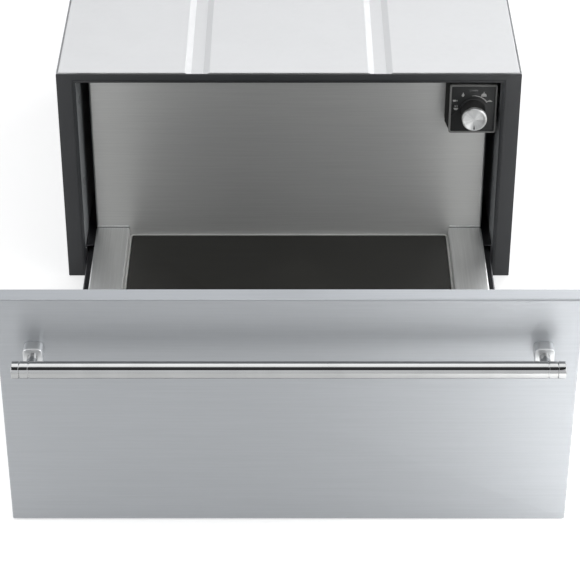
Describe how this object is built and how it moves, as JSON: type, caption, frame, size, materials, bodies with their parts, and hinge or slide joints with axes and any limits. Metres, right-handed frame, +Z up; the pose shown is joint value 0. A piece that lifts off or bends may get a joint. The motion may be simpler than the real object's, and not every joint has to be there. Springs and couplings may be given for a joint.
{
  "type": "warming drawer",
  "caption": "Built-in warming drawer, pulled out: sheet cabinet, dark glass base, stainless front with bar handle, telescopic slides and a rotary control at the top right.",
  "frame": {"origin": "centre of the face that the cabinet stands on", "axes": "+X to the right seen from the front, +Y from the front to the back, +Z up"},
  "size_m": [0.597, 1.072, 0.288],
  "materials": {
    "aluminised_steel": "aluminised sheet",
    "bearing_steel": "bright steel",
    "black_fascia": "satin black with pale printed marks",
    "black_plastic": "moulded, fine texture",
    "black_zinc": "satin black zinc plate",
    "bright_sheet": "smooth bright zinc-coated sheet",
    "brushed_stainless": "fine brushed stainless steel",
    "ceramic": "unglazed ceramic",
    "dark_glass": "dark tempered glass, glossy",
    "galvanised_steel": "zinc-coated sheet, faint spangle",
    "graphite_paint": "satin graphite powder coat",
    "grey_bezel": "satin grey anodised",
    "heating_ribbon": "oxidised resistance ribbon",
    "lamp_lens": "clear grey lens",
    "mica_board": "pressed mica",
    "mineral_wool": "pressed mineral wool",
    "phenolic": "moulded phenolic",
    "polished_steel": "mirror-polished stainless steel",
    "rubber": "matt black rubber",
    "spun_aluminium": "spun, circular grain",
    "zinc_steel": "bright zinc plate"
  },
  "bodies": {
    "cabinet": {"base_pan": "galvanised_steel", "top_plate": "bright_sheet", "side_panel_left": "galvanised_steel", "side_panel_right": "galvanised_steel", "side_liner_left": "graphite_paint", "side_liner_right": "graphite_paint", "rear_panel": "galvanised_steel", "front_frame": "graphite_paint", "outer_rail_left": "black_zinc", "outer_rail_right": "black_zinc", "control_housing": "black_plastic", "control_bezel": "grey_bezel", "control_fascia": "black_fascia", "control_hanger": "galvanised_steel", "indicator_lens": "lamp_lens", "thermostat": "phenolic", "terminal_box": "black_plastic", "cable_gland": "black_plastic", "cabinet_screws": "zinc_steel", "terminal_block": "black_plastic"},
    "middle_left": {"middle_rail_left": "black_zinc"},
    "middle_right": {"middle_rail_right": "black_zinc"},
    "outer_cage_left": {"outer_cage_left": "bearing_steel"},
    "outer_cage_right": {"outer_cage_right": "bearing_steel"},
    "inner_cage_left": {"inner_cage_left": "bearing_steel"},
    "inner_cage_right": {"inner_cage_right": "bearing_steel"},
    "knob": {"knob_skirt": "black_plastic", "knob_cap": "spun_aluminium", "thermostat_spindle": "zinc_steel"},
    "drawer": {"buffers": "rubber", "drawer_tray": "galvanised_steel", "element_board": "mica_board", "element_clips": "ceramic", "element_reflector": "aluminised_steel", "front_bracket_left": "galvanised_steel", "front_bracket_right": "galvanised_steel", "front_inner_plate": "galvanised_steel", "front_skin": "brushed_stainless", "glass_carrier": "galvanised_steel", "glass_plate": "dark_glass", "glass_trim": "brushed_stainless", "handle_bar": "polished_steel", "handle_blocks": "polished_steel", "handle_end_caps": "polished_steel", "handle_posts": "polished_steel", "handle_screws": "zinc_steel", "heating_element": "heating_ribbon", "inner_rail_left": "black_zinc", "inner_rail_right": "black_zinc", "insulation_mat": "mineral_wool", "knob_pocket": "black_plastic", "ledge_left": "brushed_stainless", "ledge_right": "brushed_stainless", "rear_wall": "brushed_stainless", "thermal_cutout": "phenolic"}
  },
  "joints": [
    {"name": "drawer_slide", "type": "slide", "parent": "cabinet", "child": "drawer", "axis": [0, 1, 0], "range_m": [0, 0.46]},
    {"name": "middle_left_slide", "type": "slide", "parent": "cabinet", "child": "middle_left", "axis": [0, 1, 0], "range_m": [0, 0.23]},
    {"name": "outer_cage_left_slide", "type": "slide", "parent": "cabinet", "child": "outer_cage_left", "axis": [0, 1, 0], "range_m": [0, 0.115]},
    {"name": "inner_cage_left_slide", "type": "slide", "parent": "cabinet", "child": "inner_cage_left", "axis": [0, 1, 0], "range_m": [0, 0.345]},
    {"name": "middle_right_slide", "type": "slide", "parent": "cabinet", "child": "middle_right", "axis": [0, 1, 0], "range_m": [0, 0.23]},
    {"name": "outer_cage_right_slide", "type": "slide", "parent": "cabinet", "child": "outer_cage_right", "axis": [0, 1, 0], "range_m": [0, 0.115]},
    {"name": "inner_cage_right_slide", "type": "slide", "parent": "cabinet", "child": "inner_cage_right", "axis": [0, 1, 0], "range_m": [0, 0.345]},
    {"name": "knob_turn", "type": "hinge", "parent": "cabinet", "child": "knob", "pos_m": [0.22375, -0.2555, 0.2325], "axis": [0, 1, 0], "range_deg": [0, 270]}
  ],
  "couplings": [
    {"joint": "middle_left_slide", "follows": "drawer_slide", "ratio": 0.5},
    {"joint": "outer_cage_left_slide", "follows": "drawer_slide", "ratio": 0.25},
    {"joint": "inner_cage_left_slide", "follows": "drawer_slide", "ratio": 0.75},
    {"joint": "middle_right_slide", "follows": "drawer_slide", "ratio": 0.5},
    {"joint": "outer_cage_right_slide", "follows": "drawer_slide", "ratio": 0.25},
    {"joint": "inner_cage_right_slide", "follows": "drawer_slide", "ratio": 0.75}
  ]
}
